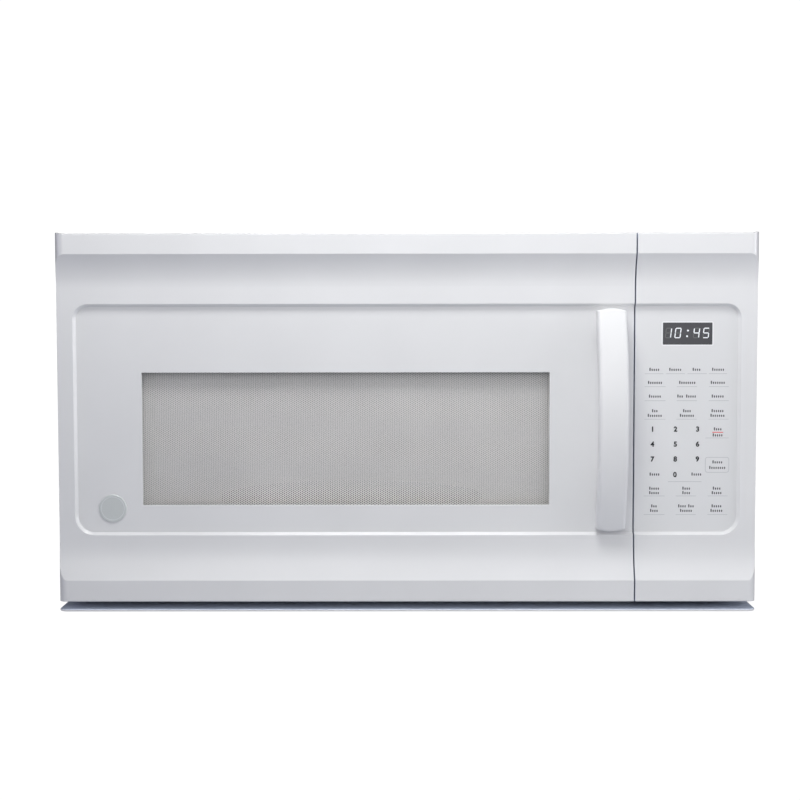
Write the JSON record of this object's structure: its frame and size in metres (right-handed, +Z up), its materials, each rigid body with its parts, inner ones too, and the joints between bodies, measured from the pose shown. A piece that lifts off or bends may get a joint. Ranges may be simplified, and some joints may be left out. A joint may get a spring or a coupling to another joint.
{
  "type": "over-the-range microwave oven",
  "caption": "White over-the-range microwave with a left-hinged coved door, bow handle, keypad panel, turntable oven, vent blower, grease filters and underside lamp.",
  "frame": {"origin": "middle of the rear panel's outer face, which hangs against the wall", "axes": "+X to the right seen from the front, +Y back into the wall, +Z up"},
  "size_m": [0.7588, 0.411, 0.4142],
  "materials": {
    "badge_metal": "satin",
    "black_fitting": "matte",
    "capacitor_can": "satin",
    "cavity_enamel": "satin",
    "charcoal_bed": "matte",
    "circuit_board": "matte",
    "clear_film": "gloss",
    "clear_pane": "clear",
    "copper_winding": "satin",
    "core_steel": "matte",
    "dark_fitting": "matte",
    "display_lens": "gloss",
    "filter_mesh": "satin",
    "galvanised_sheet": "matte",
    "keypad_film": "gloss",
    "lamp_glass": "clear",
    "lens_plastic": "frosted",
    "mica_sheet": "matte",
    "painted_case": "satin",
    "painted_grille": "satin",
    "painted_pan": "satin",
    "plated_steel": "satin",
    "roller_plastic": "matte",
    "screen_enamel": "satin",
    "screw_steel": "satin",
    "spring_steel": "satin",
    "tray_glass": "clear",
    "tube_steel": "satin",
    "white_fitting": "matte",
    "white_handle": "gloss",
    "white_moulding": "gloss"
  },
  "bodies": {
    "cabinet": {"outer_case": "painted_case", "rear_panel": "galvanised_sheet", "base_pan": "painted_pan", "oven_cavity": "cavity_enamel", "upper_hinge": "plated_steel", "lower_hinge": "plated_steel", "case_screws": "screw_steel", "power_cord_bushing": "black_fitting", "control_panel": "white_moulding", "keypad_overlay": "keypad_film", "display_window": "display_lens", "display_module": "dark_fitting", "control_board": "circuit_board", "interlock_bracket": "white_fitting", "interlock_switches": "dark_fitting", "magnetron": "tube_steel", "magnetron_thermostat": "plated_steel", "waveguide": "galvanised_sheet", "waveguide_cover": "mica_sheet", "transformer_core": "core_steel", "transformer_coils": "copper_winding", "capacitor": "capacitor_can", "line_filter_board": "circuit_board", "cooling_fan_shroud": "white_fitting", "cooling_fan_motor": "core_steel", "blower_housing": "galvanised_sheet", "blower_motor": "core_steel", "turntable_motor": "plated_steel", "cavity_lamp": "lamp_glass", "lamp_socket": "galvanised_sheet", "surface_lamps": "lamp_glass", "surface_lamp_housing": "galvanised_sheet", "top_vent_grille": "painted_grille", "charcoal_filter": "charcoal_bed"},
    "door": {"door_frame": "white_moulding", "window_pane": "clear_pane", "door_screen": "screen_enamel", "inner_pane": "clear_film", "choke_cover": "dark_fitting", "door_handle": "white_handle", "handle_screws": "screw_steel", "badge_disc": "badge_metal", "latch_spring": "spring_steel"},
    "latch": {"door_latch": "white_fitting"},
    "cooling_fan": {"cooling_fan_blade": "dark_fitting", "cooling_fan_shaft": "spring_steel"},
    "blower_rotor": {"blower_wheel_left": "dark_fitting", "blower_wheel_right": "dark_fitting", "blower_shaft": "spring_steel"},
    "turntable_drive": {"drive_coupler": "white_fitting", "turntable_shaft": "spring_steel"},
    "ring": {"roller_ring": "white_fitting"},
    "roller_1": {"roller_1": "roller_plastic"},
    "roller_2": {"roller_2": "roller_plastic"},
    "roller_3": {"roller_3": "roller_plastic"},
    "tray": {"glass_tray": "tray_glass"},
    "filter_left": {"grease_filter_left": "filter_mesh"},
    "filter_right": {"grease_filter_right": "filter_mesh"},
    "lamp_cover": {"surface_lamp_cover": "lens_plastic"}
  },
  "joints": [
    {"name": "door_hinge", "type": "hinge", "parent": "cabinet", "child": "door", "pos_m": [-0.3674, -0.354, 0], "axis": [0, 0, -1], "range_deg": [0, 100]},
    {"name": "latch_lift", "type": "slide", "parent": "door", "child": "latch", "axis": [0, 0, 1], "range_m": [0, 0.004], "stiffness_N_per_m": 200, "springref_m": -0.003, "deforming": ["latch_spring"]},
    {"name": "cooling_fan_spin", "type": "hinge", "parent": "cabinet", "child": "cooling_fan", "pos_m": [0.28632, -0.0518, 0.0303], "axis": [0, 1, 0], "continuous": true},
    {"name": "blower_spin", "type": "hinge", "parent": "cabinet", "child": "blower_rotor", "pos_m": [0, -0.076, 0.1482], "axis": [1, 0, 0], "continuous": true},
    {"name": "turntable_spin", "type": "hinge", "parent": "cabinet", "child": "turntable_drive", "pos_m": [-0.06665, -0.179, -0.1297], "axis": [0, 0, 1], "continuous": true},
    {"name": "tray_lift", "type": "slide", "parent": "turntable_drive", "child": "tray", "axis": [0, 0, 1], "range_m": [0, 0.06]},
    {"name": "ring_spin", "type": "hinge", "parent": "cabinet", "child": "ring", "pos_m": [-0.06665, -0.179, -0.1224], "axis": [0, 0, 1], "continuous": true},
    {"name": "roller_1_spin", "type": "hinge", "parent": "ring", "child": "roller_1", "pos_m": [-0.06665, -0.072, -0.1224], "axis": [0, 1, 0], "continuous": true},
    {"name": "roller_2_spin", "type": "hinge", "parent": "ring", "child": "roller_2", "pos_m": [-0.15932, -0.2325, -0.1224], "axis": [-0.866, -0.5, 0], "continuous": true},
    {"name": "roller_3_spin", "type": "hinge", "parent": "ring", "child": "roller_3", "pos_m": [0.02601, -0.2325, -0.1224], "axis": [0.866, -0.5, 0], "continuous": true},
    {"name": "filter_left_drop", "type": "slide", "parent": "cabinet", "child": "filter_left", "axis": [0, 0, -1], "range_m": [0, 0.03]},
    {"name": "filter_right_drop", "type": "slide", "parent": "cabinet", "child": "filter_right", "axis": [0, 0, -1], "range_m": [0, 0.03]},
    {"name": "lamp_cover_hinge", "type": "hinge", "parent": "cabinet", "child": "lamp_cover", "pos_m": [0, -0.225, -0.20415], "axis": [1, 0, 0], "range_deg": [0, 90]}
  ],
  "couplings": [
    {"joint": "ring_spin", "follows": "turntable_spin", "ratio": 0.5},
    {"joint": "roller_1_spin", "follows": "turntable_spin", "ratio": -7.6429},
    {"joint": "roller_2_spin", "follows": "turntable_spin", "ratio": -7.6429},
    {"joint": "roller_3_spin", "follows": "turntable_spin", "ratio": -7.6429}
  ]
}
